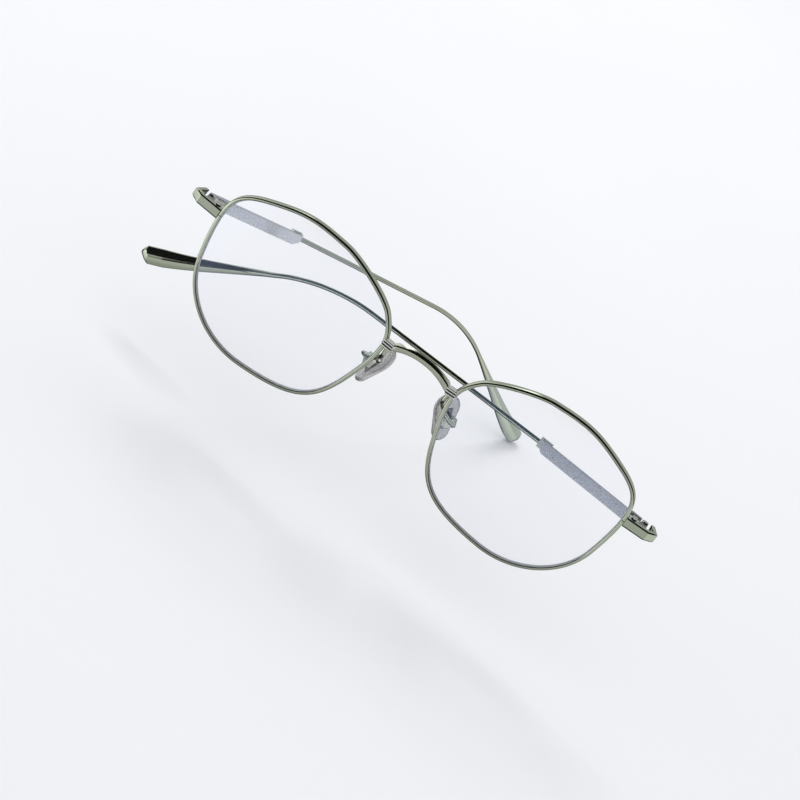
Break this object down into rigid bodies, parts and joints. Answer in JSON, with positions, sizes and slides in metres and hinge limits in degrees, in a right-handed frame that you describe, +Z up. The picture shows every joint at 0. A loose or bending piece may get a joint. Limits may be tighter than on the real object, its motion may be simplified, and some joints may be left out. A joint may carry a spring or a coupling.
{
  "type": "polygonal metal eyeglasses",
  "caption": "Metal eyeglasses with rounded polygonal rims, clear lenses, adjustable nose pads and thin wire temples that fold.",
  "frame": {"origin": "midway between the two lenses at the height of the lens centres, on the lens plane", "axes": "+X towards the wearer's left, -Y out of the lens fronts towards what the wearer looks at, +Z up"},
  "size_m": [0.1425, 0.1052, 0.0629],
  "materials": {
    "green_metal": "mirror-polished pale sage-green plating on titanium",
    "bright_metal": "polished pale plating, slightly brighter than the rims",
    "lens": "clear plastic lens with a faint blue-violet coating",
    "soft_pad": "smoky see-through silicone, satin"
  },
  "bodies": {
    "front": {"rim_left": "green_metal", "rim_right": "green_metal", "lens_left": "lens", "lens_right": "lens", "bridge": "green_metal", "collar_left": "bright_metal", "collar_right": "bright_metal", "pad_arm_left": "green_metal", "pad_arm_right": "green_metal", "pad_box_left": "bright_metal", "pad_box_right": "bright_metal", "pad_screws": "bright_metal", "endpiece_left": "green_metal", "endpiece_right": "green_metal", "lock_upper_left": "bright_metal", "lock_upper_right": "bright_metal", "lock_lower_left": "bright_metal", "lock_lower_right": "bright_metal", "lock_screws": "bright_metal", "hinge_front_left": "bright_metal", "hinge_front_right": "bright_metal", "hinge_screws": "bright_metal"},
    "temple_left": {"hinge_temple_left": "bright_metal", "temple_plate_left": "green_metal", "ferrule_left": "green_metal", "temple_wire_left": "green_metal", "temple_tip_left": "green_metal"},
    "temple_right": {"hinge_temple_right": "bright_metal", "temple_plate_right": "green_metal", "ferrule_right": "green_metal", "temple_wire_right": "green_metal", "temple_tip_right": "green_metal"},
    "pad_left": {"pad_core_left": "bright_metal", "nose_pad_left": "soft_pad"},
    "pad_right": {"pad_core_right": "bright_metal", "nose_pad_right": "soft_pad"}
  },
  "joints": [
    {"name": "left_temple_hinge", "type": "hinge", "parent": "front", "child": "temple_left", "pos_m": [0.06426, 0.00604, 0.00605], "axis": [0, -0.1994, -0.9799], "range_deg": [-4.8, 84.2]},
    {"name": "right_temple_hinge", "type": "hinge", "parent": "front", "child": "temple_right", "pos_m": [-0.06426, 0.00604, 0.00605], "axis": [0, 0.1994, 0.9799], "range_deg": [-3.09, 45.6]},
    {"name": "left_pad_rock", "type": "hinge", "parent": "front", "child": "pad_left", "pos_m": [0.01264, 0.0054, -0.00181], "axis": [-0.6327, -0.7431, -0.2178], "range_deg": [-7, 9]},
    {"name": "right_pad_rock", "type": "hinge", "parent": "front", "child": "pad_right", "pos_m": [-0.0109, 0.00589, -0.00172], "axis": [-0.2447, 0.9659, 0.0843], "range_deg": [-9, 7]}
  ],
  "couplings": [
    {"joint": "right_temple_hinge", "follows": "left_temple_hinge", "ratio": 0.53919}
  ]
}
